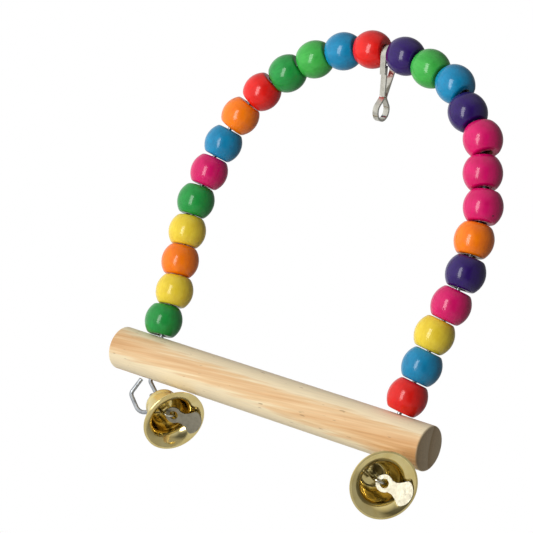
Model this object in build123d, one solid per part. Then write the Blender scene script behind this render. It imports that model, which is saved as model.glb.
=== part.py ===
from build123d import *
import math
import os

# A bird swing: a perch on a beaded wire arch, with a hanging clip at the top and a bell under each end.
# Sizes are in millimetres and angles in degrees.
# The origin is the wire's centre at the top of the arch, where the clip's hook goes round it.
# X runs along the perch, Y goes away from the front and Z goes up, so the arch stands in the XZ plane.

# Perch
perch_length = 138.0
perch_diameter = 16.0
perch_end_rounding = 0.6
perch_hole_inset = 15.5
perch_hole_clearance = 0.5

# Arch wire: straight legs, two long side bends and a rounder crown
wire_diameter = 1.6
leg_lean = 7.4
crown_start_heading = 11.0
side_to_crown_share = 1.9

# Wire loops under the perch
loop_radius = 4.8
loop_slope_angle = 45.0
loop_neck_radius = 1.7
loop_neck_drop = 0.8
loop_back_angle = 228.0
loop_back_run = 6.0
loop_corner_radius = 1.8
loop_end_offset = 4.3
loop_end_drop = 0.4
left_loop_yaw = 0.0
right_loop_yaw = -70.0

# Beads, counted from the left foot of the arch over the top to the right foot
beads_per_side = 13
bead_diameter = 14.0
bead_length = 11.4
bead_side_radius = 12.0
bead_shoulder_radius = 4.0
bead_hole_diameter = 4.4
bead_hole_rounding = 0.2
bead_gap = 0.15
bead_seat_gap = 0.2
bead_wire_clearance = 0.5

# How far each bead sits off the wire's centre line, out from the arch or into it, from the foot up,
# as a share of its play on the wire
left_sway_shares = [0.9, -0.9, 0.0, 0.1, 0.2, -0.8, -1.0, -0.6, -0.5, -1.0, -1.0, -1.0, -1.0]
right_sway_shares = [0.1, 0.0, -1.0, 0.0, 0.4, -0.5, 0.3, -0.9, 1.0, -1.0, 1.0, -0.8, -1.0]

# Hanging clip: one flat strip bent to a hook and an eye, and a springy gate
strip_width = 2.2
strip_thickness = 0.8
clip_side_clearance = 0.15
clip_wire_clearance = 0.1
clip_tilt = 20.0
hook_radius = 3.5
hook_tip_length = 6.5
hook_tip_lean = 10.0
spine_length = 5.8
spine_bend_radius = 4.0
neck_drop = 9.6
neck_gap = 0.2
neck_bend_radius = 1.5
eye_radius = 3.45
eye_drop = 4.85
eye_shoulder_drop = 3.6
eye_shoulder_radius = 3.0
gate_seam = 0.12
gate_tip_overlap = 3.2
gate_tip_clearance = 0.3

# Bells
mouth_diameter = 23.5
bell_height = 14.0
bell_wall = 0.6
rim_thickness = 1.1
waist_diameter = 14.4
waist_height = 5.5
waist_ring_thickness = 0.9
shoulder_diameter = 12.0
shoulder_height = 11.0
crown_diameter = 8.6
flare_width_share = 0.3
flare_height_share = 0.36
dome_share = 0.74

# Bell hangers: closed wire links through the crown
hanger_wire_diameter = 1.0
hanger_spacing = 4.6
hanger_rise = 5.0
hanger_hole_clearance = 0.05
hanger_loop_clearance = 0.45
clapper_pivot_height = 6.0

# Clappers
clapper_thickness = 0.8
clapper_ring_diameter = 6.0
clapper_ring_hole_diameter = 3.2
clapper_neck_width = 4.2
clapper_rim_clearance = 0.6
clapper_overhang = 2.0
clapper_corner_radius = 1.3
clapper_neck_share = 0.36
clapper_corner_share = 0.7
clapper_width_share = 0.9
clapper_waist_share = 0.44

# How each bell lies: yaw and dip of its axis from crown to mouth, turn of its clapper about that axis from
# straight up, and the angle above the loop's middle at which the hanger holds the loop
left_bell_yaw = -18.4
left_bell_dip = 21.0
left_bell_turn = -74.8
left_hanger_angle = 16.0
right_bell_yaw = -37.7
right_bell_dip = 10.5
right_bell_turn = -92.3
right_hanger_angle = 26.0

# Every through cut runs past the piece by this much
cut_overrun = 5.0


# Values worked out from the sizes
wire_radius = wire_diameter / 2
perch_radius = perch_diameter / 2
perch_hole_spacing = perch_length - 2 * perch_hole_inset
lean = math.radians(leg_lean)
crown_start = math.radians(crown_start_heading)
bead_sway = (bead_hole_diameter - wire_diameter) / 2 - bead_wire_clearance
bead_side_centre = bead_diameter / 2 - bead_side_radius
bead_shoulder_level = bead_length / 2 - bead_shoulder_radius
bead_shoulder_reach = math.sqrt((bead_side_radius - bead_shoulder_radius) ** 2 - bead_shoulder_level ** 2)
bead_end_radius = bead_side_centre + bead_shoulder_reach
pack_depth = bead_end_radius + bead_sway
seat_run = bead_seat_gap + pack_depth * math.tan(lean)
clip_room = strip_width + 2 * clip_side_clearance
bead_pitch = bead_length + bead_gap
half_run = seat_run + beads_per_side * bead_pitch - bead_gap + clip_room / 2
half_wire = half_run + pack_depth * (math.pi / 2 + lean)

# The crown's radius and the leg's length follow from the hole spacing and the length of wire that the beads fill
reach_factor = side_to_crown_share * (math.cos(lean) - math.cos(crown_start)) + math.cos(crown_start)
length_factor = side_to_crown_share * (crown_start + lean) + math.pi / 2 - crown_start
crown_radius = perch_hole_spacing / 2 + half_wire * math.sin(lean)
crown_radius = crown_radius / (reach_factor + length_factor * math.sin(lean))
side_radius = side_to_crown_share * crown_radius
leg_length = half_wire - length_factor * crown_radius
side_run = (crown_start + lean) * (side_radius - pack_depth)


def outward(heading):
    """Unit vector out of the arch on its right half, where the wire has this heading from straight up."""
    return Vector(math.cos(heading), 0, math.sin(heading))


def along(heading):
    """Unit vector up along the wire on the arch's right half."""
    return Vector(-math.sin(heading), 0, math.cos(heading))


crown_centre = Vector(0, 0, -crown_radius)
side_centre = crown_centre + outward(crown_start) * (crown_radius - side_radius)
leg_top = side_centre + outward(-lean) * side_radius
leg_foot = leg_top - along(-lean) * leg_length
leg_exit = leg_foot - along(-lean) * (perch_diameter / math.cos(lean))
perch_centre = Vector(0, 0, leg_foot.Z - perch_radius)


def mirrored(vector):
    """The same place or direction on the arch's left half."""
    return Vector(-vector.X, vector.Y, vector.Z)


def arch_place(run):
    """Place on the right half of the wire and its heading there.

    The run is counted up from the perch along the line where the beads' inner rims meet.
    """
    if run < leg_length:
        return leg_foot + along(-lean) * run, -lean
    if run < leg_length + side_run:
        heading = (run - leg_length) / (side_radius - pack_depth) - lean
        return side_centre + outward(heading) * side_radius, heading
    heading = crown_start + (run - leg_length - side_run) / (crown_radius - pack_depth)
    return crown_centre + outward(heading) * crown_radius, heading


def corner_arc(before, corner, after, radius):
    """The arc that rounds a corner on the way from one point to another."""
    back = (before - corner).normalized()
    on = (after - corner).normalized()
    half_angle = math.acos(back.dot(on)) / 2
    run = radius / math.tan(half_angle)
    middle = corner + (back + on).normalized() * (radius / math.sin(half_angle) - radius)
    return ThreePointArc(corner + back * run, middle, corner + on * run)


class WireLoop:
    """The loop at one end of the wire: it slants out from the perch, turns round a circle and comes back up."""

    def __init__(self, leave, down, yaw):
        flat = Vector(math.cos(math.radians(yaw)), math.sin(math.radians(yaw)), 0)
        self.slope = math.radians(loop_slope_angle)
        self.leave = leave
        self.down = down
        self.across = (flat - down * flat.dot(down)).normalized()
        self.normal = self.across.cross(down)
        self.neck = leave + down * loop_neck_drop
        self.centre = self.neck + down * (loop_radius / math.sin(self.slope))

    def radial(self, angle):
        """Unit vector out of the loop's circle, at this angle from its top."""
        return self.across * math.sin(angle) - self.down * math.cos(angle)

    def point(self, angle):
        """Point of the loop's circle, at this angle from its top."""
        return self.centre + self.radial(angle) * loop_radius

    def edges(self):
        """The whole loop, in order from the perch to the wire's end."""
        first = math.pi / 2 - self.slope
        last = math.radians(loop_back_angle)
        half = (first + last) / 2
        back_corner = self.point(last) + self.radial(last + math.pi / 2) * loop_back_run
        end = self.leave - self.across * loop_end_offset + self.down * loop_end_drop
        neck_bend = corner_arc(self.leave, self.neck, self.point(first), loop_neck_radius)
        back_bend = corner_arc(self.point(last), back_corner, end, loop_corner_radius)
        return [
            Line(self.leave, neck_bend @ 0),
            neck_bend,
            Line(neck_bend @ 1, self.point(first)),
            ThreePointArc(self.point(first), self.point((first + half) / 2), self.point(half)),
            ThreePointArc(self.point(half), self.point((half + last) / 2), self.point(last)),
            Line(self.point(last), back_bend @ 0),
            back_bend,
            Line(back_bend @ 1, end),
        ]


left_loop = WireLoop(mirrored(leg_exit), mirrored(along(-lean)) * -1, left_loop_yaw)
right_loop = WireLoop(leg_exit, along(-lean) * -1, right_loop_yaw)


def swept(profile, path, x_dir=None):
    """A profile carried along a path from the path's start."""
    return sweep(Plane(origin=path @ 0, x_dir=x_dir, z_dir=path % 0) * profile, path=path)


# Perch and wire
def make_perch():
    """The dowel, with a hole in line with each leg of the wire."""
    dowel = Plane(perch_centre, x_dir=(0, 1, 0), z_dir=(1, 0, 0)) * Cylinder(perch_radius, perch_length)
    ends = dowel.edges().filter_by(GeomType.CIRCLE)
    dowel = fillet(ends, perch_end_rounding)
    hole_radius = wire_radius + perch_hole_clearance
    for middle, direction in (
        ((leg_foot + leg_exit) / 2, along(-lean)),
        (mirrored((leg_foot + leg_exit) / 2), mirrored(along(-lean))),
    ):
        hole = Cylinder(hole_radius, perch_diameter / math.cos(lean) + 2 * cut_overrun)
        dowel = dowel - Plane(middle, z_dir=direction) * hole
    return dowel


def make_arch_wire():
    """One wire from the left loop up over the arch to the right loop."""
    crown_middle = crown_centre + outward((math.pi / 2 + crown_start) / 2) * crown_radius
    side_middle = side_centre + outward((crown_start - lean) / 2) * side_radius
    side_end = side_centre + outward(crown_start) * side_radius
    half = [
        ThreePointArc(Vector(0, 0, 0), crown_middle, side_end),
        ThreePointArc(side_end, side_middle, leg_top),
        Line(leg_top, leg_exit),
    ]
    other_half = [edge.mirror(Plane.YZ) for edge in half]
    path = Wire(left_loop.edges() + other_half + half + right_loop.edges())
    return swept(Circle(wire_radius), path)


# Beads
def make_bead():
    """A barrel-round bead standing on its axis, with round shoulders, small flat ends and a drilled hole."""
    end = bead_length / 2
    shoulder = Vector(bead_end_radius, bead_shoulder_level)
    out = (shoulder - Vector(bead_side_centre, 0)).normalized()
    side_top = shoulder + out * bead_shoulder_radius
    shoulder_middle = shoulder + (out + Vector(0, 1)).normalized() * bead_shoulder_radius
    side_foot = Vector(side_top.X, -side_top.Y)
    foot_middle = Vector(shoulder_middle.X, -shoulder_middle.Y)
    barrel = [
        ThreePointArc((bead_end_radius, end), shoulder_middle, side_top),
        ThreePointArc(side_top, (bead_diameter / 2, 0), side_foot),
        ThreePointArc(side_foot, foot_middle, (bead_end_radius, -end)),
    ]
    bore_side = Polyline(
        (bead_end_radius, end),
        (bead_hole_diameter / 2, end),
        (bead_hole_diameter / 2, -end),
        (bead_end_radius, -end),
    )
    bead = revolve(Plane.XZ * make_face(barrel + bore_side.edges()), Axis.Z)
    bore = bead.edges().filter_by(GeomType.CIRCLE).group_by(SortBy.RADIUS)[0]
    return fillet(bore, bead_hole_rounding)


def bead_planes():
    """The plane of each bead, in order over the arch, with its axis along the wire."""
    left = []
    right = []
    for index in range(beads_per_side):
        run = seat_run + index * bead_pitch + bead_length / 2
        place, heading = arch_place(run)
        left_place = place + outward(heading) * (bead_sway * left_sway_shares[index])
        right_place = place + outward(heading) * (bead_sway * right_sway_shares[index])
        left.append(Plane(mirrored(left_place), x_dir=(0, 1, 0), z_dir=mirrored(along(heading))))
        right.append(Plane(right_place, x_dir=(0, 1, 0), z_dir=along(heading)))
    return left + right[::-1]


# Clip, drawn in its own plane with the wire's centre at the origin, X to the back and Y up
clip_plane = Plane((0, 0, 0), x_dir=(0, 1, 0), z_dir=(1, 0, 0))
clip_turn = Rotation(clip_tilt, 0, 0)
hook_level = wire_radius + clip_wire_clearance + strip_thickness / 2 - hook_radius
spine_level = hook_level - spine_length
neck_level = spine_level - neck_drop
neck_half = (strip_thickness + neck_gap) / 2
eye_level = neck_level - eye_drop
eye_shoulder_level = neck_level - eye_shoulder_drop

# The hook's tip leans in towards the gate, and the gate lies along it inside
tip_lean = math.radians(hook_tip_lean)
tip_run = Vector(math.sin(tip_lean), -math.cos(tip_lean))
tip_inside = Vector(math.cos(tip_lean), math.sin(tip_lean))
tip_start = Vector(0, hook_level) - tip_inside * hook_radius
tip_end = tip_start + tip_run * hook_tip_length


def clip_strip(edges):
    """The flat strip along a path in the clip's plane, tilted as the clip hangs."""
    path = Wire([clip_plane.from_local_coords(edge) for edge in edges])
    return clip_turn * swept(Rectangle(strip_width, strip_thickness), path, (1, 0, 0))


def make_clip_hook():
    """Hook, spine and eye in one bent strip."""
    tip = Line(tip_end, tip_start)
    crook = ThreePointArc(tip_start, (0, hook_level + hook_radius), (hook_radius, hook_level))
    spine = FilletPolyline(
        (hook_radius, hook_level),
        (hook_radius, spine_level),
        (neck_half, neck_level),
        (eye_radius, eye_shoulder_level),
        (eye_radius, eye_level),
        radius=[spine_bend_radius, neck_bend_radius, eye_shoulder_radius],
    )
    eye = ThreePointArc((eye_radius, eye_level), (0, eye_level - eye_radius), (-eye_radius, eye_level))
    end = FilletPolyline(
        (-eye_radius, eye_level),
        (-eye_radius, eye_shoulder_level),
        (-neck_half, neck_level),
        radius=eye_shoulder_radius,
    )
    return clip_strip([tip, crook] + spine.edges() + [eye] + end.edges())


def make_clip_gate():
    """The gate, from just above the strip's end to its tip behind the hook's."""
    gate_tip = tip_end - tip_run * gate_tip_overlap + tip_inside * (strip_thickness + gate_tip_clearance)
    return clip_strip([Line((-neck_half, neck_level + strip_thickness / 2 + gate_seam), gate_tip)])


# Bells
class BellPlace:
    """How one bell lies on its loop, and the planes that its pieces are drawn in."""

    def __init__(self, loop, yaw, dip, turn, hold_angle):
        yaw = math.radians(yaw)
        dip = math.radians(dip)
        turn = math.radians(turn)
        axis = Vector(math.cos(yaw) * math.cos(dip), math.sin(yaw) * math.cos(dip), -math.sin(dip))
        up = (Vector(0, 0, 1) - axis * axis.Z).normalized()
        side = axis.cross(up)
        flop = up * math.cos(turn) + side * math.sin(turn)
        hinge = axis.cross(flop)
        contact = math.pi / 2 - math.radians(hold_angle)
        run = loop.radial(contact + math.pi / 2)
        slant = flop.cross(run).length / abs(hinge.dot(run))
        hold = (wire_radius + hanger_wire_diameter / 2 + hanger_loop_clearance) * slant
        mouth = loop.point(contact) + axis * (bell_height + hanger_rise - hold)
        self.axis = axis
        self.hinge = hinge
        self.plane = Plane(mouth, x_dir=flop, z_dir=axis * -1)
        self.pivot = mouth - axis * clapper_pivot_height
        reach = (axis * clapper_drop + flop * clapper_swing).normalized()
        self.clapper_plane = Plane(self.pivot, x_dir=hinge, z_dir=hinge.cross(reach))


# The clapper lies with its tip just inside the rim and a little out of the mouth
clapper_drop = clapper_pivot_height + clapper_overhang
clapper_swing = mouth_diameter / 2 - rim_thickness - clapper_rim_clearance
clapper_tip_reach = math.hypot(clapper_drop, clapper_swing) - hanger_spacing / 2

left_bell = BellPlace(left_loop, left_bell_yaw, left_bell_dip, left_bell_turn, left_hanger_angle)
right_bell = BellPlace(right_loop, right_bell_yaw, right_bell_dip, right_bell_turn, right_hanger_angle)


def bell_side(inset):
    """Outline of the bell from its mouth to its axis at the crown, drawn in by an inset."""
    mouth = Vector(mouth_diameter / 2 - inset, 0)
    waist = Vector(waist_diameter / 2 - inset, waist_height)
    shoulder = Vector(shoulder_diameter / 2 - inset, shoulder_height)
    crown = Vector(crown_diameter / 2 - inset, bell_height - inset)
    flare = Vector(waist.X + (mouth.X - waist.X) * flare_width_share, waist.Y * flare_height_share)
    dome_rise = (crown.Y - shoulder.Y) * dome_share
    dome = Vector(crown.X + (shoulder.X - crown.X) * dome_share, shoulder.Y + dome_rise)
    return [
        ThreePointArc(mouth, flare, waist),
        Line(waist, shoulder),
        ThreePointArc(shoulder, dome, crown),
        Line(crown, Vector(0, bell_height - inset)),
    ]


def make_bell_shell(bell):
    """A spun shell with a rolled rim, a ring at the waist and two holes in the crown."""
    outside = bell_side(0)
    inside = bell_side(bell_wall)
    lip = Line(outside[0] @ 0, inside[0] @ 0)
    top = Line(outside[-1] @ 1, inside[-1] @ 1)
    profile = make_face(outside + inside + [lip, top])
    rim = Pos((mouth_diameter - rim_thickness) / 2, rim_thickness / 2) * Circle(rim_thickness / 2)
    ring = Pos(waist_diameter / 2, waist_height) * Circle(waist_ring_thickness / 2)
    inner_space = make_face(inside + [Line(inside[0] @ 0, Vector(0, 0)), Line(Vector(0, 0), inside[-1] @ 1)])
    profile = profile + rim + (ring - inner_space)
    shell = revolve(Plane.XZ * profile, Axis.Z)
    hole = Cylinder(hanger_wire_diameter / 2 + hanger_hole_clearance, bell_wall + 2 * cut_overrun)
    for side in (-1, 1):
        shell = shell - Pos(side * hanger_spacing / 2, 0, bell_height) * hole
    return bell.plane * shell


def make_bell_hanger(bell):
    """A closed link: straight legs through the crown and a round bend at each end."""
    radius = hanger_spacing / 2
    top = bell_height + hanger_rise - radius
    bottom = clapper_pivot_height
    path = Wire(
        [
            Line((radius, 0, bottom), (radius, 0, top)),
            ThreePointArc((radius, 0, top), (0, 0, top + radius), (-radius, 0, top)),
            Line((-radius, 0, top), (-radius, 0, bottom)),
            ThreePointArc((-radius, 0, bottom), (0, 0, bottom - radius), (radius, 0, bottom)),
        ]
    )
    return bell.plane * swept(Circle(hanger_wire_diameter / 2), path)


def make_bell_clapper(bell):
    """A flat plate with a ring round the hanger and an axe-shaped end, drawn with Y away from its pivot."""
    ring_level = hanger_spacing / 2
    neck = Vector(clapper_neck_width / 2, ring_level + clapper_tip_reach * clapper_neck_share)
    corner = Vector(
        clapper_tip_reach * clapper_width_share / 2,
        ring_level + clapper_tip_reach * clapper_corner_share,
    )
    waist = Vector(
        neck.X + (corner.X - neck.X) * clapper_waist_share,
        corner.Y + (neck.Y - corner.Y) * clapper_waist_share,
    )
    tip = ThreePointArc(mirrored(corner), (0, ring_level + clapper_tip_reach), corner)
    blade = make_face(
        [
            Line((neck.X, ring_level), neck),
            ThreePointArc(neck, waist, corner),
            tip,
            ThreePointArc(mirrored(corner), mirrored(waist), mirrored(neck)),
            Line(mirrored(neck), (-neck.X, ring_level)),
            Line((-neck.X, ring_level), (neck.X, ring_level)),
        ]
    )
    columns = blade.vertices().group_by(Axis.X)
    blade = fillet(columns[0] + columns[-1], clapper_corner_radius)
    ring = Pos(0, ring_level) * Circle(clapper_ring_diameter / 2)
    hole = Pos(0, ring_level) * Circle(clapper_ring_hole_diameter / 2)
    return extrude(bell.clapper_plane * (blade + ring - hole), clapper_thickness / 2, both=True)


# The whole swing, one solid for each piece
pieces = {
    "perch_dowel": make_perch(),
    "arch_wire": make_arch_wire(),
    "clip_hook": make_clip_hook(),
    "clip_gate": make_clip_gate(),
}
bead = make_bead()
for number, plane in enumerate(bead_planes(), start=1):
    pieces[f"bead_{number:02d}"] = plane * bead
for name, bell in (("left", left_bell), ("right", right_bell)):
    pieces[f"{name}_bell_shell"] = make_bell_shell(bell)
    pieces[f"{name}_bell_hanger"] = make_bell_hanger(bell)
    pieces[f"{name}_bell_clapper"] = make_bell_clapper(bell)

os.makedirs("parts", exist_ok=True)
for name, piece in pieces.items():
    export_step(piece, f"parts/{name}.step")
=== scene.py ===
import math

import bpy
import numpy as np
from mathutils import Matrix, Vector


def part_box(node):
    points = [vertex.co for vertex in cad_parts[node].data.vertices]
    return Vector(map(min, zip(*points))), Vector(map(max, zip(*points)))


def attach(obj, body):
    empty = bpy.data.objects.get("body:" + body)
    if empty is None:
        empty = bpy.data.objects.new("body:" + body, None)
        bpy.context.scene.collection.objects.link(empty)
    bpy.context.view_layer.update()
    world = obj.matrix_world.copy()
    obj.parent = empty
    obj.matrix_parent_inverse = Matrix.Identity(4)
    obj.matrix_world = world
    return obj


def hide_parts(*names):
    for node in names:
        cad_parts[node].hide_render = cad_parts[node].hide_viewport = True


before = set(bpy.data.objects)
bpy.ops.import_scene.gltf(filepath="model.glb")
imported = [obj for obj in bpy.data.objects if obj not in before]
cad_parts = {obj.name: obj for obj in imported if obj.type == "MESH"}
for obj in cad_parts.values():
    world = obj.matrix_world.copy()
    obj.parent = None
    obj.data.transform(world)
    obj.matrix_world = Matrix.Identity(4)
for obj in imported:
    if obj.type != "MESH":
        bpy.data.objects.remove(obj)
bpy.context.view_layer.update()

# Lengths are in metres, so sizes given in millimetres are multiplied by this
mm = 0.001

# Camera: the photograph's viewing angle and place, and its focal length in pixels of the square picture
picture_width = 533
view_azimuth = math.radians(35.294)
view_elevation = math.radians(-5.134)
view_roll = math.radians(19.6)
focal_pixels = 2087.3
camera_place = Vector((415.91, -614.84, -155.79)) * mm
sensor_width = 36.0
nearest_view = 10 * mm

# Softbox: where it stands, as shares of the camera's right, up and back, and its size
swing_middle = Vector((0, 0, -80)) * mm
softbox_side_shares = (-0.55, 0.05, 0.83)
softbox_distance = 650 * mm
softbox_width = 200 * mm
softbox_height = 750 * mm
softbox_tilt = math.radians(15)
softbox_watts = 3.4

# Room: its sides as shares of the camera's right, up and back, and its light, where 1 is white
lit_side_shares = (-0.95, -0.2, 0.2)
lit_side_light = 1.7
dark_side_light = 0.03
rear_light = 0.9
wall_side_shares = (-0.95, 0.2, 0.2)
wall_shades = [(0.0, "#a4a4a4"), (0.33, "#a8a8a8"), (0.46, "#5c5c5c"), (0.6, "#6a6a6a"), (0.9, "#ffffff")]
ceiling_light = 0.8
ceiling_start_share = 0.3
ceiling_full_share = 0.9
sheet_left_light = 0.9
sheet_right_light = 0.25
sheet_fade_share = 0.5
sheet_edge_share = 0.4

# Floor: the glow keeps it pale where little light falls on it
floor_level = -235 * mm
floor_radius = 420 * mm
floor_fade_radius = 170 * mm
floor_rings = 24
floor_spokes = 96
floor_glow_to_camera = 0.55
floor_glow_in_mirrors = 0.25
paper_mottle_size = 6 * mm

# Noise: most of its values lie between these two, which go to sockets 1 and 2 of a MapRange
noise_low = 0.3
noise_high = 0.7
noise_range = {1: noise_low, 2: noise_high}
noise_middle = (0.5, 0.5, 0.5)

# The wave texture turns this many radians over one unit at a scale of 1
wave_radians = 20

# Perch
perch_low, perch_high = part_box("perch_dowel")
perch_middle = (perch_low + perch_high) / 2
perch_half_length = (perch_high.x - perch_low.x) / 2

# Pine: the pith lies behind the perch, so that the ring nearest its front makes one broad band there
pith_offset = Vector((0, 19.0, 1.3)) * mm
pith_turn = (0, math.radians(-5.0), 0)
ring_spacing = 7.5 * mm
ring_phase = 0.22 * 2 * math.pi
ring_wander = 0.8 * mm
ring_wander_scale = (1 / (45 * mm), 1 / (5 * mm), 1 / (5 * mm))
strand_scale = (1 / (32 * mm), 1 / (1.1 * mm), 1 / (1.1 * mm))
strand_shift_share = 0.2

# Real fibres, resin ducts and end pores are finer, and are drawn coarser so that they show
fibre_scale = (1 / (14 * mm), 1 / (0.5 * mm), 1 / (0.5 * mm))
duct_scale = (1 / (4.5 * mm), 1 / (0.75 * mm), 1 / (0.75 * mm))
end_pore_size = 0.45 * mm
end_grain_depth = 0.45 * mm
wood_relief = 0.06 * mm

# Beads: their length, width and bore come from the frame
bead_side_radius = 7.9 * mm
bead_shoulder_radius = 1.5 * mm
bore_edge_radius = 0.2 * mm
bead_end_clearance = 0.1 * mm
side_steps = 14
shoulder_steps = 6
bore_edge_steps = 4
bead_spokes = 72

# Bead finish: real grain and pores are finer, and are drawn coarser so that they show
dye_cloud_size = 3.2 * mm
grain_scale = (1 / (0.6 * mm), 1 / (0.6 * mm), 1 / (6 * mm))
grain_share = 0.32
# The bore is bare wood, painted dark brown as painted shade inside the hole, out to this radius
shaded_bare_bore_radius = 2.2 * mm
dyed_radius = 2.5 * mm
pore_spacing = 5 * mm
pore_radius = 0.25 * mm
pore_edge_radius = 0.425 * mm
pored_share = 0.14
lacquer_wave_size = 2.4 * mm
lacquer_relief = 0.08 * mm

# Metal finishes: real rub marks and spinning rings are finer, and are drawn coarser so that they show
zinc_cloud_size = 1.6 * mm
zinc_relief = 0.05 * mm
plating_cloud_size = 1.8 * mm
rub_mark_scale = (1 / (0.15 * mm), 1 / (0.15 * mm), 1 / (2.5 * mm))
rub_mark_relief = 0.01 * mm
rubbed_bright_share = 0.75
rubbed_dull_share = 1.3
tarnish_size = 5 * mm
spinning_ring_spacing = 0.5 * mm
spinning_ring_relief = 0.02 * mm

# Bead colours from the left foot of the arch over the top to the right foot
bead_colours = [
    "green", "yellow", "orange", "yellow", "green", "pink", "blue", "orange", "red", "green",
    "light_green", "blue", "red", "purple", "light_green", "blue", "purple", "pink", "pink", "pink",
    "orange", "purple", "pink", "yellow", "blue", "red",
]

# Each bead colour: the dyed lacquer where it lies thin, and where it lies thick or in the grain
lacquers = {
    "red": ("#e31a12", "#d4140e"),
    "blue": ("#0a86b4", "#0877a3"),
    "purple": ("#2b0d62", "#240a54"),
    "green": ("#1d963e", "#178637"),
    "light_green": ("#3fae46", "#339f3c"),
    "pink": ("#d60a66", "#c6065a"),
    "orange": ("#fa7e02", "#ee7000"),
    "yellow": ("#ecd03a", "#e2c22e"),
}


def linear(hex_code):
    """Linear RGBA of an sRGB hex colour."""
    shares = np.array([int(hex_code[i : i + 2], 16) for i in (1, 3, 5)]) / 255
    shares = np.where(shares <= 0.04045, shares / 12.92, ((shares + 0.055) / 1.055) ** 2.4)
    return (*shares.tolist(), 1.0)


def node(tree, kind, sockets=None, stops=None, **settings):
    """Adds a shader node with its settings, its sockets' values or links, and a colour ramp's stops. Sockets
    1 to 4 of a MapRange are the ends of its range and what they become. A Mix has its share in socket 0, and
    mixes sockets 2 and 3, or 6 and 7 where they are colours."""
    made = tree.nodes.new("ShaderNode" + kind)
    for name, value in settings.items():
        setattr(made, name, value)
    for name, value in (sockets or {}).items():
        if isinstance(value, bpy.types.NodeSocket):
            tree.links.new(value, made.inputs[name])
        else:
            made.inputs[name].default_value = value
    if stops:
        ramp = made.color_ramp.elements
        while len(ramp) < len(stops):
            ramp.new(1.0)
        for element, (place, hex_code) in zip(ramp, stops):
            element.position = place
            element.color = linear(hex_code)
    return made


def start_material(name):
    """A new material with an empty node tree."""
    material = bpy.data.materials.new(name)
    material.use_nodes = True
    material.node_tree.nodes.clear()
    return material, material.node_tree


def finish_material(tree, sockets):
    """Ends a material with a Principled surface."""
    surface = node(tree, "BsdfPrincipled", sockets)
    node(tree, "OutputMaterial", {"Surface": surface.outputs[0]})


def centred_on(tree, place, middle, axis):
    """A place as seen from the middle of a round piece, with Z turned onto its axis."""
    turn = Vector(axis).to_track_quat("Z", "Y").to_euler()
    centre = {"Vector": place, "Location": middle, "Rotation": turn}
    return node(tree, "Mapping", centre, vector_type="TEXTURE").outputs[0]


def distance_from_z(tree, place):
    """How far a place lies from the Z axis."""
    flat = node(tree, "VectorMath", {0: place, 1: (1, 1, 0)}, operation="MULTIPLY").outputs[0]
    return node(tree, "VectorMath", {0: flat}, operation="LENGTH").outputs["Value"]


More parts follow.
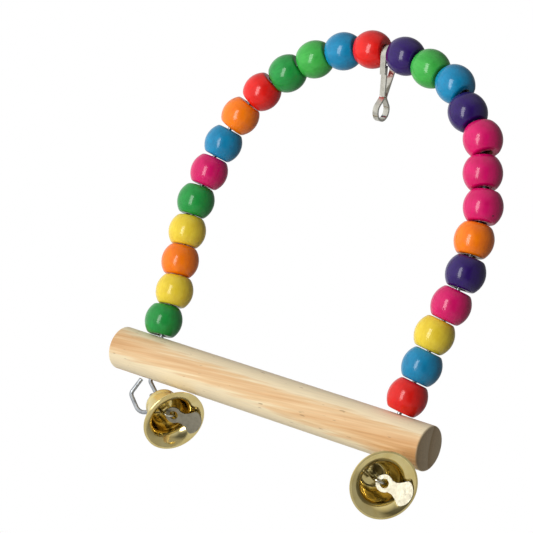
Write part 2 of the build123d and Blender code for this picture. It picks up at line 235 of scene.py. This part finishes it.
# Materials of the swing
def sanded_pine():
    """Bare pine dowel, turned and sanded: cream early wood, one broad tan band where a growth ring runs
    along the face, fine fibres and short dark resin ducts along the length, and duller sawn ends."""
    material, tree = start_material("sanded_pine")
    place = node(tree, "TexCoord").outputs["Object"]
    pith = {"Vector": place, "Location": perch_middle + pith_offset, "Rotation": pith_turn}
    local = node(tree, "Mapping", pith, vector_type="TEXTURE").outputs[0]
    wander = node(tree, "VectorMath", {0: local, 1: ring_wander_scale}, operation="MULTIPLY").outputs[0]
    wander = node(tree, "TexNoise", {"Vector": wander, "Scale": 1.0, "Detail": 2.0}).outputs["Color"]
    wander = node(tree, "VectorMath", {0: wander, 1: noise_middle}, operation="SUBTRACT").outputs[0]
    wander = node(tree, "VectorMath", {0: wander, "Scale": ring_wander}, operation="SCALE").outputs[0]
    bent = node(tree, "VectorMath", {0: local, 1: wander}, operation="ADD").outputs[0]
    ring_scale = 2 * math.pi / (wave_radians * ring_spacing)
    rings = node(
        tree,
        "TexWave",
        {"Vector": bent, "Scale": ring_scale, "Phase Offset": ring_phase},
        wave_type="RINGS",
        rings_direction="X",
        wave_profile="SAW",
    ).outputs["Fac"]
    fibres = node(tree, "VectorMath", {0: local, 1: fibre_scale}, operation="MULTIPLY").outputs[0]
    fibres = node(tree, "TexNoise", {"Vector": fibres, "Scale": 1.0, "Detail": 3.0}).outputs["Fac"]
    strands = node(tree, "VectorMath", {0: local, 1: strand_scale}, operation="MULTIPLY").outputs[0]
    strands = node(tree, "TexNoise", {"Vector": strands, "Scale": 1.0, "Detail": 3.0}).outputs["Fac"]
    shift = {0: strands, 1: 2 * strand_shift_share, 2: -strand_shift_share}
    strands = node(tree, "Math", shift, operation="MULTIPLY_ADD").outputs[0]
    strands = node(tree, "Math", {0: rings, 1: strands}, operation="ADD").outputs[0]
    grown = [(0.0, "#f7e7c5"), (0.7, "#f5e2bc"), (0.78, "#ecca9b"), (0.88, "#e3b886"), (1.0, "#d29e66")]
    wood = node(tree, "ValToRGB", {"Fac": strands}, stops=grown).outputs["Color"]
    fibre_shade = node(tree, "MapRange", {"Value": fibres, 1: 0.3, 2: 0.75, 3: 0.93, 4: 1.03}).outputs[0]
    wood = node(tree, "VectorMath", {0: wood, "Scale": fibre_shade}, operation="SCALE").outputs[0]
    ducts = node(tree, "VectorMath", {0: local, 1: duct_scale}, operation="MULTIPLY").outputs[0]
    ducts = node(tree, "TexNoise", {"Vector": ducts, "Scale": 1.0, "Detail": 1.0}).outputs["Fac"]
    ducts = node(tree, "MapRange", {"Value": ducts, 1: 0.72, 2: 0.79, 3: 0.0, 4: 0.6}).outputs[0]
    wood = node(tree, "Mix", {0: ducts, 6: wood, 7: linear("#9a7552")}, data_type="RGBA").outputs[2]
    along = node(tree, "SeparateXYZ", {0: place}).outputs["X"]
    along = node(tree, "Math", {0: along}, operation="ABSOLUTE").outputs[0]
    end_start = perch_half_length - end_grain_depth
    end = node(tree, "MapRange", {"Value": along, 1: end_start, 2: perch_half_length}).outputs[0]
    sawn = [(0.0, "#d9c3a0"), (0.6, "#d1b892"), (0.93, "#bfa27a"), (1.0, "#d9c3a0")]
    end_wood = node(tree, "ValToRGB", {"Fac": rings}, stops=sawn).outputs["Color"]
    pore_scale = 1 / end_pore_size
    pores = node(tree, "TexNoise", {"Vector": place, "Scale": pore_scale, "Detail": 2.0}).outputs["Fac"]
    pore_shade = node(tree, "MapRange", {"Value": pores, **noise_range, 3: 0.88, 4: 1.05}).outputs[0]
    end_wood = node(tree, "VectorMath", {0: end_wood, "Scale": pore_shade}, operation="SCALE").outputs[0]
    wood = node(tree, "Mix", {0: end, 6: wood, 7: end_wood}, data_type="RGBA").outputs[2]
    relief = node(tree, "Mix", {0: end, 2: fibres, 3: pores}, data_type="FLOAT").outputs[0]
    bump = node(tree, "Bump", {"Height": relief, "Strength": 0.5, "Distance": wood_relief}).outputs[0]
    rough = node(tree, "MapRange", {"Value": fibres, **noise_range, 3: 0.5, 4: 0.66}).outputs[0]
    sockets = {"Base Color": wood, "Roughness": rough, "Normal": bump, "Specular IOR Level": 0.35}
    finish_material(tree, sockets)
    return material


def lacquered_bead(name, lacquer, middle, axis):
    """Turned wooden bead, dyed and dipped in clear lacquer: deep colour, slightly cloudy where the dye
    soaked in, faint grain from hole to hole, a few pores, bare wood in the bore painted dark brown as shade
    inside the hole, and a wet-looking coat that waves."""
    thin, thick = lacquer
    material, tree = start_material(name)
    place = node(tree, "TexCoord").outputs["Object"]
    local = centred_on(tree, place, middle, axis)
    clouds = node(
        tree, "TexNoise", {"Vector": place, "Scale": 1 / dye_cloud_size, "Detail": 3.0, "Roughness": 0.6}
    ).outputs["Fac"]
    grain = node(tree, "VectorMath", {0: local, 1: grain_scale}, operation="MULTIPLY").outputs[0]
    grain = node(tree, "TexNoise", {"Vector": grain, "Scale": 1.0, "Detail": 2.0}).outputs["Fac"]
    soaked = node(tree, "Math", {0: clouds, 1: 1 - grain_share}, operation="MULTIPLY").outputs[0]
    soaked = node(tree, "Math", {0: grain, 1: grain_share, 2: soaked}, operation="MULTIPLY_ADD").outputs[0]
    dye = node(tree, "ValToRGB", {"Fac": soaked}, stops=[(0.35, thick), (0.6, thin)]).outputs["Color"]
    # Near the bore the dye gives way to bare wood, painted dark brown as painted shade inside the hole
    across = distance_from_z(tree, local)
    bare_wood_and_shade = node(
        tree, "MapRange", {"Value": across, 1: shaded_bare_bore_radius, 2: dyed_radius, 3: 0.85, 4: 0.0}
    ).outputs[0]
    dye = node(tree, "Mix", {0: bare_wood_and_shade, 6: dye, 7: linear("#6d5238")}, data_type="RGBA").outputs[2]
    cells = node(tree, "TexVoronoi", {"Vector": place, "Scale": 1 / pore_spacing}).outputs
    chance = node(tree, "SeparateColor", {0: cells["Color"]}).outputs[0]
    chance = node(tree, "Math", {0: chance, 1: 1 - pored_share}, operation="GREATER_THAN").outputs[0]
    pore_ends = {1: pore_radius / pore_spacing, 2: pore_edge_radius / pore_spacing, 3: 1.0, 4: 0.0}
    pore = node(tree, "MapRange", {"Value": cells["Distance"], **pore_ends}).outputs[0]
    pore = node(tree, "Math", {0: pore, 1: chance}, operation="MULTIPLY").outputs[0]
    pore_shade = node(tree, "Math", {0: pore, 1: -0.7, 2: 1.0}, operation="MULTIPLY_ADD").outputs[0]
    dye = node(tree, "VectorMath", {0: dye, "Scale": pore_shade}, operation="SCALE").outputs[0]
    wave_scale = 1 / lacquer_wave_size
    waves = node(tree, "TexNoise", {"Vector": place, "Scale": wave_scale, "Detail": 1.0}).outputs["Fac"]
    relief = node(tree, "Math", {0: grain, 1: 0.12, 2: waves}, operation="MULTIPLY_ADD").outputs[0]
    relief = node(tree, "Math", {0: pore, 1: -2.0, 2: relief}, operation="MULTIPLY_ADD").outputs[0]
    bump = node(tree, "Bump", {"Height": relief, "Strength": 0.6, "Distance": lacquer_relief}).outputs[0]
    finish_material(
        tree,
        {
            "Base Color": dye,
            "Roughness": 0.4,
            "Specular IOR Level": 0.05,
            "Normal": bump,
            "Coat Weight": 0.7,
            "Coat Roughness": 0.12,
            "Coat Normal": bump,
        },
    )
    return material


def galvanised_wire():
    """Zinc-coated steel wire, drawn and bent: dull blue-grey metal with cloudy zinc and faint handling
    marks."""
    material, tree = start_material("galvanised_wire")
    place = node(tree, "TexCoord").outputs["Object"]
    cloud_scale = 1 / zinc_cloud_size
    clouds = node(tree, "TexNoise", {"Vector": place, "Scale": cloud_scale, "Detail": 4.0}).outputs["Fac"]
    shades = [(noise_low, "#9a9ea2"), (noise_high, "#c2c6c9")]
    zinc = node(tree, "ValToRGB", {"Fac": clouds}, stops=shades).outputs["Color"]
    rough = node(tree, "MapRange", {"Value": clouds, **noise_range, 3: 0.42, 4: 0.26}).outputs[0]
    bump = node(tree, "Bump", {"Height": clouds, "Strength": 0.3, "Distance": zinc_relief}).outputs[0]
    finish_material(tree, {"Base Color": zinc, "Metallic": 1.0, "Roughness": rough, "Normal": bump})
    return material


def nickel_plate(name, light, dark, roughness):
    """Nickel-plated steel: warm silver, with fine rub marks and slightly cloudy plating."""
    material, tree = start_material(name)
    place = node(tree, "TexCoord").outputs["Object"]
    cloud_scale = 1 / plating_cloud_size
    clouds = node(tree, "TexNoise", {"Vector": place, "Scale": cloud_scale, "Detail": 3.0}).outputs["Fac"]
    shades = [(noise_low, dark), (noise_high, light)]
    plating = node(tree, "ValToRGB", {"Fac": clouds}, stops=shades).outputs["Color"]
    rubs = node(tree, "VectorMath", {0: place, 1: rub_mark_scale}, operation="MULTIPLY").outputs[0]
    rubs = node(tree, "TexNoise", {"Vector": rubs, "Scale": 1.0, "Detail": 2.0}).outputs["Fac"]
    rubbed = {3: roughness * rubbed_bright_share, 4: roughness * rubbed_dull_share}
    rough = node(tree, "MapRange", {"Value": rubs, **noise_range, **rubbed}).outputs[0]
    bump = node(tree, "Bump", {"Height": rubs, "Strength": 0.2, "Distance": rub_mark_relief}).outputs[0]
    finish_material(tree, {"Base Color": plating, "Metallic": 1.0, "Roughness": rough, "Normal": bump})
    return material


def spun_brass(name, middle, axis):
    """Brass-plated bell, spun and polished: yellow mirror with faint rings round the axis and cloudy
    tarnish."""
    material, tree = start_material(name)
    place = node(tree, "TexCoord").outputs["Object"]
    local = centred_on(tree, place, middle, axis)
    across = distance_from_z(tree, local)
    height = node(tree, "SeparateXYZ", {0: local}).outputs["Z"]
    section = node(tree, "CombineXYZ", {0: across, 1: height}).outputs[0]
    rings = node(
        tree,
        "TexNoise",
        {"Vector": section, "Scale": 1 / spinning_ring_spacing, "Detail": 2.0},
        noise_dimensions="2D",
    ).outputs["Fac"]
    cloud_scale = 1 / tarnish_size
    clouds = node(tree, "TexNoise", {"Vector": place, "Scale": cloud_scale, "Detail": 3.0}).outputs["Fac"]
    shades = [(noise_low, "#e2cb84"), (noise_high, "#eedd9f")]
    brass = node(tree, "ValToRGB", {"Fac": clouds}, stops=shades).outputs["Color"]
    rough = node(tree, "MapRange", {"Value": rings, **noise_range, 3: 0.07, 4: 0.15}).outputs[0]
    relief = {"Height": rings, "Strength": 0.25, "Distance": spinning_ring_relief}
    bump = node(tree, "Bump", relief).outputs[0]
    finish_material(tree, {"Base Color": brass, "Metallic": 1.0, "Roughness": rough, "Normal": bump})
    return material


# Pieces
def dress(name, material):
    """Gives a CAD node its material."""
    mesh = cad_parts[name].data
    mesh.materials.clear()
    mesh.materials.append(material)


def node_points(name):
    """Corner points of a CAD node's mesh, one row each."""
    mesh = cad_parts[name].data
    points = np.empty(len(mesh.vertices) * 3)
    mesh.vertices.foreach_get("co", points)
    return points.reshape(-1, 3)


def surface_middle_and_axis(name):
    """Middle of a round node's surface, and its axis: the one direction in which its spread differs from the
    other two. Each triangle counts by its area."""
    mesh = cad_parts[name].data
    mesh.calc_loop_triangles()
    corners = np.empty(len(mesh.loop_triangles) * 3, dtype=np.int64)
    mesh.loop_triangles.foreach_get("vertices", corners)
    triangles = node_points(name)[corners.reshape(-1, 3)]
    edges = triangles[:, 1:] - triangles[:, :1]
    area = np.linalg.norm(np.cross(edges[:, 0], edges[:, 1]), axis=1)
    centres = triangles.mean(axis=1)
    middle = np.average(centres, axis=0, weights=area)
    spread = np.cov(centres.T, aweights=area)
    values, vectors = np.linalg.eigh(spread)
    odd_one = 0 if values[1] - values[0] > values[2] - values[1] else 2
    return Vector(middle), Vector(vectors[:, odd_one])


def bead_section(radius, half_length, bore):
    """Closed outline of a bead's wall as distances from the axis and heights. Its upper half runs from the
    widest place over a side arc, a shoulder arc that meets it smoothly and the flat end to the rounded edge
    of the bore, and the lower half mirrors it."""
    side_centre = radius - bead_side_radius
    shoulder_level = half_length - bead_shoulder_radius
    reach = bead_side_radius - bead_shoulder_radius
    shoulder_centre = side_centre + math.sqrt(reach**2 - shoulder_level**2)
    meeting = math.atan2(shoulder_level, shoulder_centre - side_centre)
    side = np.linspace(0, meeting, side_steps, endpoint=False)
    shoulder = np.linspace(meeting, np.pi / 2, shoulder_steps)
    edge = np.linspace(np.pi / 2, np.pi, bore_edge_steps)
    across = np.concatenate(
        [
            side_centre + bead_side_radius * np.cos(side),
            shoulder_centre + bead_shoulder_radius * np.cos(shoulder),
            bore + bore_edge_radius * (1 + np.cos(edge)),
            [bore],
        ]
    )
    height = np.concatenate(
        [
            bead_side_radius * np.sin(side),
            shoulder_level + bead_shoulder_radius * np.sin(shoulder),
            half_length - bore_edge_radius * (1 - np.sin(edge)),
            [0.0],
        ]
    )
    return np.append(across, across[-2:0:-1]), np.append(height, -height[-2:0:-1])


def turned_bead(name, middle, axis, material):
    """A bead as a surface of revolution, with its width, length and bore measured on its solid:
    P(t, a) = middle + across(t) (cos a side + sin a depth) + height(t) axis."""
    from_middle = node_points(name) - np.array(middle)
    along = from_middle @ np.array(axis)
    away = np.linalg.norm(from_middle - along[:, None] * np.array(axis), axis=1)
    half_length = np.abs(along).max() - bead_end_clearance
    across, height = bead_section(away.max(), half_length, away.min())
    side = axis.orthogonal().normalized()
    depth = axis.cross(side)
    angle = np.arange(bead_spokes) / bead_spokes * 2 * np.pi
    radial = np.cos(angle)[:, None] * np.array(side) + np.sin(angle)[:, None] * np.array(depth)
    surface = np.array(middle) + across[:, None, None] * radial + height[:, None, None] * np.array(axis)
    step, spoke = np.meshgrid(np.arange(len(across)), np.arange(bead_spokes), indexing="ij")
    next_step = (step + 1) % len(across)
    next_spoke = (spoke + 1) % bead_spokes
    corners = [(step, spoke), (step, next_spoke), (next_step, next_spoke), (next_step, spoke)]
    faces = np.stack([row * bead_spokes + column for row, column in corners], axis=-1).reshape(-1, 4)
    turned = bpy.data.meshes.new("turned_" + name)
    turned.from_pydata(surface.reshape(-1, 3).tolist(), [], faces.tolist())
    turned.shade_smooth()
    turned.materials.append(material)
    bead = bpy.data.objects.new("turned_" + name, turned)
    bpy.context.scene.collection.objects.link(bead)
    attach(bead, name)
    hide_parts(name)


# Dress every piece
dress("perch_dowel", sanded_pine())
dress("arch_wire", galvanised_wire())
clip_nickel = nickel_plate("nickel_plated_clip", "#d8d6cb", "#bdbaae", 0.16)
for piece in ("clip_hook", "clip_gate", "left_bell_hanger", "right_bell_hanger"):
    dress(piece, clip_nickel)
clapper_nickel = nickel_plate("nickel_plated_clapper", "#a09b89", "#8c8777", 0.36)
for piece in ("left_bell_clapper", "right_bell_clapper"):
    dress(piece, clapper_nickel)
for piece in ("left_bell_shell", "right_bell_shell"):
    dress(piece, spun_brass("spun_brass_" + piece, *surface_middle_and_axis(piece)))
for number, bead_colour in enumerate(bead_colours, start=1):
    piece = f"bead_{number:02d}"
    finish_name = f"{bead_colour}_lacquered_{piece}"
    middle, axis = surface_middle_and_axis(piece)
    finish = lacquered_bead(finish_name, lacquers[bead_colour], middle, axis)
    turned_bead(piece, middle, axis, finish)


# Camera
def photo_axes():
    """The camera's right, up and back directions."""
    back = Vector(
        (
            math.sin(view_azimuth) * math.cos(view_elevation),
            -math.cos(view_azimuth) * math.cos(view_elevation),
            math.sin(view_elevation),
        )
    )
    level = Vector((math.cos(view_azimuth), math.sin(view_azimuth), 0))
    upright = back.cross(level)
    right = level * math.cos(view_roll) + upright * math.sin(view_roll)
    up = upright * math.cos(view_roll) - level * math.sin(view_roll)
    return right, up, back


right, up, back = photo_axes()
camera_data = bpy.data.cameras.new("camera")
camera_data.sensor_width = sensor_width
camera_data.lens = focal_pixels / picture_width * sensor_width
camera_data.clip_start = nearest_view
camera = bpy.data.objects.new("camera", camera_data)
camera.matrix_world = Matrix.Translation(camera_place) @ Matrix((right, up, back)).transposed().to_4x4()
bpy.context.scene.collection.objects.link(camera)
bpy.context.scene.camera = camera


# Stage: a softbox, the room and a floor
def camera_side(shares):
    """Direction made of shares of the camera's right, up and back."""
    return (right * shares[0] + up * shares[1] + back * shares[2]).normalized()


def strip_softbox():
    """A tall rectangular lamp at the left of the camera, facing the swing, that gives the beads their
    highlights."""
    direction = camera_side(softbox_side_shares)
    lamp_data = bpy.data.lights.new("strip_softbox", "AREA")
    lamp_data.shape = "RECTANGLE"
    lamp_data.size = softbox_width
    lamp_data.size_y = softbox_height
    lamp_data.energy = softbox_watts
    lamp = bpy.data.objects.new("strip_softbox", lamp_data)
    side = up.cross(direction).normalized()
    top = direction.cross(side)
    turned_side = side * math.cos(softbox_tilt) - top * math.sin(softbox_tilt)
    turned_top = top * math.cos(softbox_tilt) + side * math.sin(softbox_tilt)
    turn = Matrix((turned_side, turned_top, direction)).transposed().to_4x4()
    lamp.matrix_world = Matrix.Translation(swing_middle + direction * softbox_distance) @ turn
    lamp.visible_camera = False
    bpy.context.scene.collection.objects.link(lamp)


def studio_room():
    """A room whose left side and rear light the swing. Polished surfaces show its white left wall, its pale
    ceiling, its grey right wall, and the white sheet behind the swing, which is in shade at the right. The
    camera sees white."""
    world = bpy.data.worlds.new("studio_room")
    world.use_nodes = True
    tree = world.node_tree
    tree.nodes.clear()
    direction = node(tree, "TexCoord").outputs["Generated"]

    def toward(side):
        """How much a ray runs towards a side, from -1 to 1."""
        return node(tree, "VectorMath", {0: direction, 1: side}, operation="DOT_PRODUCT").outputs["Value"]

    lit = toward(camera_side(lit_side_shares))
    light = node(tree, "MapRange", {"Value": lit, 3: dark_side_light, 4: lit_side_light}).outputs[0]
    rear = node(tree, "MapRange", {"Value": toward(back), 2: -1.0, 4: rear_light}).outputs[0]
    light = node(tree, "Math", {0: light, 1: rear}, operation="ADD").outputs[0]
    wall = toward(camera_side(wall_side_shares))
    wall = node(tree, "MapRange", {"Value": wall, 1: -1.0}).outputs[0]
    wall = node(tree, "ValToRGB", {"Fac": wall}, stops=wall_shades).outputs["Color"]
    ceiling_ends = {1: ceiling_start_share, 2: ceiling_full_share, 4: ceiling_light}
    ceiling = node(tree, "MapRange", {"Value": toward(up), **ceiling_ends}).outputs[0]
    wall = node(tree, "Math", {0: wall, 1: ceiling}, operation="MAXIMUM").outputs[0]
    sheet_ends = {1: -sheet_fade_share, 2: sheet_fade_share, 3: sheet_left_light, 4: sheet_right_light}
    sheet = node(tree, "MapRange", {"Value": toward(right), **sheet_ends}).outputs[0]
    behind = node(tree, "MapRange", {"Value": toward(back), 2: -sheet_edge_share}).outputs[0]
    room = node(tree, "Mix", {0: behind, 2: wall, 3: sheet}, data_type="FLOAT").outputs[0]
    ray = node(tree, "LightPath").outputs
    mirrored = {0: ray["Is Glossy Ray"], 1: ray["Is Transmission Ray"]}
    polished = node(tree, "Math", mirrored, operation="MAXIMUM").outputs[0]
    shown = node(tree, "Mix", {0: polished, 2: light, 3: room}, data_type="FLOAT").outputs[0]
    shown = node(tree, "Mix", {0: ray["Is Camera Ray"], 2: shown, 3: 1.0}, data_type="FLOAT").outputs[0]
    background = node(tree, "Background", {"Color": (1, 1, 1, 1), "Strength": shown})
    node(tree, "OutputWorld", {"Surface": background.outputs[0]})
    bpy.context.scene.world = world


def paper_floor():
    """White paper, slightly mottled, that fades out towards its edge so that no horizon shows."""
    material, tree = start_material("white_paper_floor")
    place = node(tree, "TexCoord").outputs["Object"]
    mottle_scale = 1 / paper_mottle_size
    mottle = node(tree, "TexNoise", {"Vector": place, "Scale": mottle_scale, "Detail": 3.0}).outputs["Fac"]
    shades = [(noise_low, "#f3f3f2"), (noise_high, "#f8f8f7")]
    paper = node(tree, "ValToRGB", {"Fac": mottle}, stops=shades).outputs["Color"]
    fade = node(
        tree,
        "MapRange",
        {"Value": distance_from_z(tree, place), 1: floor_fade_radius, 2: floor_radius, 3: 1.0, 4: 0.0},
        interpolation_type="SMOOTHSTEP",
    ).outputs[0]
    ray = node(tree, "LightPath").outputs
    mirrored = {0: ray["Is Glossy Ray"], 1: floor_glow_in_mirrors}
    mirrored = node(tree, "Math", mirrored, operation="MULTIPLY").outputs[0]
    seen = {0: ray["Is Camera Ray"], 1: floor_glow_to_camera, 2: mirrored}
    glow = node(tree, "Math", seen, operation="MULTIPLY_ADD").outputs[0]
    finish_material(
        tree,
        {
            "Base Color": paper,
            "Roughness": 0.8,
            "Alpha": fade,
            "Emission Color": (1, 1, 1, 1),
            "Emission Strength": glow,
        },
    )
    return material


def make_floor():
    """A flat disc of rings round the swing, P(r, a) = (r cos a, r sin a, floor_level), with a fan of
    triangles at its middle."""
    reach = np.linspace(0, floor_radius, floor_rings)
    turn = np.linspace(0, 2 * np.pi, floor_spokes, endpoint=False)
    radius, angle = np.meshgrid(reach, turn, indexing="ij")
    level = np.full_like(radius, floor_level)
    points = np.stack([radius * np.cos(angle), radius * np.sin(angle), level], axis=-1)
    ring, spoke = np.meshgrid(np.arange(1, floor_rings - 1), np.arange(floor_spokes), indexing="ij")
    beyond = (spoke + 1) % floor_spokes
    corners = [(ring, spoke), (ring + 1, spoke), (ring + 1, beyond), (ring, beyond)]
    quads = np.stack([row * floor_spokes + column for row, column in corners], axis=-1).reshape(-1, 4)
    spokes = np.arange(floor_spokes)
    next_spokes = (spokes + 1) % floor_spokes
    fan = np.stack([np.zeros_like(spokes), floor_spokes + spokes, floor_spokes + next_spokes], axis=-1)
    mesh = bpy.data.meshes.new("floor")
    mesh.from_pydata(points.reshape(-1, 3).tolist(), [], quads.tolist() + fan.tolist())
    mesh.materials.append(paper_floor())
    floor = bpy.data.objects.new("floor", mesh)
    bpy.context.scene.collection.objects.link(floor)


strip_softbox()
studio_room()
make_floor()

bpy.context.scene.view_settings.view_transform = "Standard"
